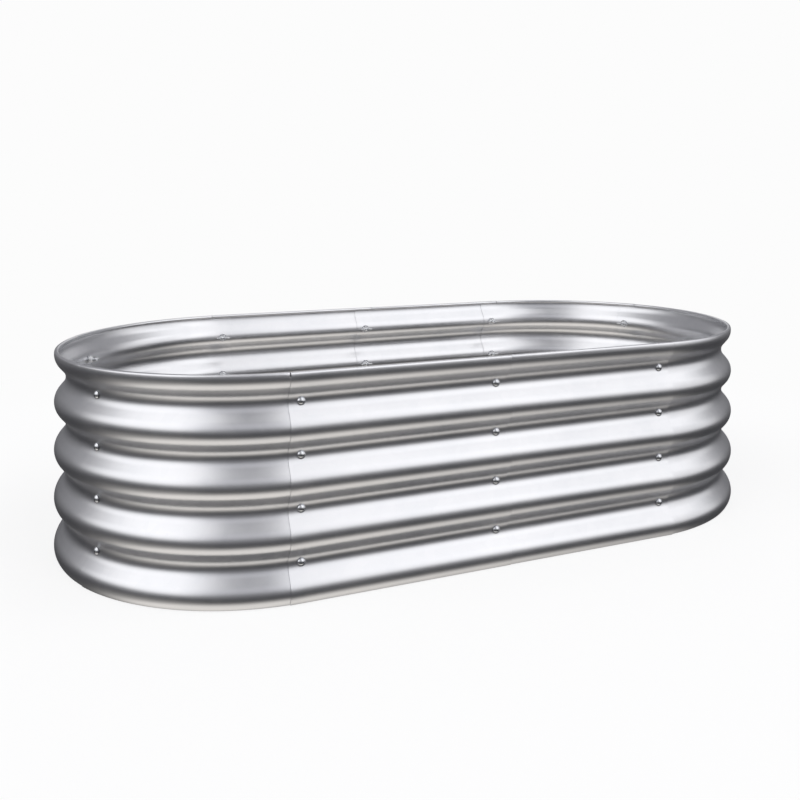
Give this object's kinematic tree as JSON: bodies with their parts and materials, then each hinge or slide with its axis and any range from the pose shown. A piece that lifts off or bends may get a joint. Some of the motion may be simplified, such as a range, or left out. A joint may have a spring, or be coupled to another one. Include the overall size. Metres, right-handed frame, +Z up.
{
  "type": "raised garden bed",
  "caption": "Oval raised garden bed of corrugated galvanised steel sheets bolted together, open at top and bottom, with a rolled rim.",
  "frame": {"origin": "centre of the oval, on the plane of the bottom edge", "axes": "+X along the length, +Y to the back, +Z up"},
  "size_m": [1.165, 0.596, 0.3004],
  "materials": {
    "galvanised_sheet": "smooth bright galvanised, semi-gloss",
    "zinc_fasteners": "zinc plated, bright"
  },
  "bodies": {
    "root": {"front_left_side_sheet": "galvanised_sheet", "front_right_side_sheet": "galvanised_sheet", "back_left_side_sheet": "galvanised_sheet", "back_right_side_sheet": "galvanised_sheet", "front_left_corner_sheet": "galvanised_sheet", "front_right_corner_sheet": "galvanised_sheet", "back_left_corner_sheet": "galvanised_sheet", "back_right_corner_sheet": "galvanised_sheet", "left_end_sheet": "galvanised_sheet", "right_end_sheet": "galvanised_sheet", "front_middle_seam_bolts": "zinc_fasteners", "front_middle_seam_washers": "zinc_fasteners", "front_middle_seam_wing_nuts": "zinc_fasteners", "front_left_seam_bolts": "zinc_fasteners", "front_left_seam_washers": "zinc_fasteners", "front_left_seam_wing_nuts": "zinc_fasteners", "front_right_seam_bolts": "zinc_fasteners", "front_right_seam_washers": "zinc_fasteners", "front_right_seam_wing_nuts": "zinc_fasteners", "left_end_front_seam_bolts": "zinc_fasteners", "left_end_front_seam_washers": "zinc_fasteners", "left_end_front_seam_wing_nuts": "zinc_fasteners", "right_end_front_seam_bolts": "zinc_fasteners", "right_end_front_seam_washers": "zinc_fasteners", "right_end_front_seam_wing_nuts": "zinc_fasteners", "back_middle_seam_bolts": "zinc_fasteners", "back_middle_seam_washers": "zinc_fasteners", "back_middle_seam_wing_nuts": "zinc_fasteners", "back_left_seam_bolts": "zinc_fasteners", "back_left_seam_washers": "zinc_fasteners", "back_left_seam_wing_nuts": "zinc_fasteners", "back_right_seam_bolts": "zinc_fasteners", "back_right_seam_washers": "zinc_fasteners", "back_right_seam_wing_nuts": "zinc_fasteners", "left_end_back_seam_bolts": "zinc_fasteners", "left_end_back_seam_washers": "zinc_fasteners", "left_end_back_seam_wing_nuts": "zinc_fasteners", "right_end_back_seam_bolts": "zinc_fasteners", "right_end_back_seam_washers": "zinc_fasteners", "right_end_back_seam_wing_nuts": "zinc_fasteners"}
  },
  "joints": []
}
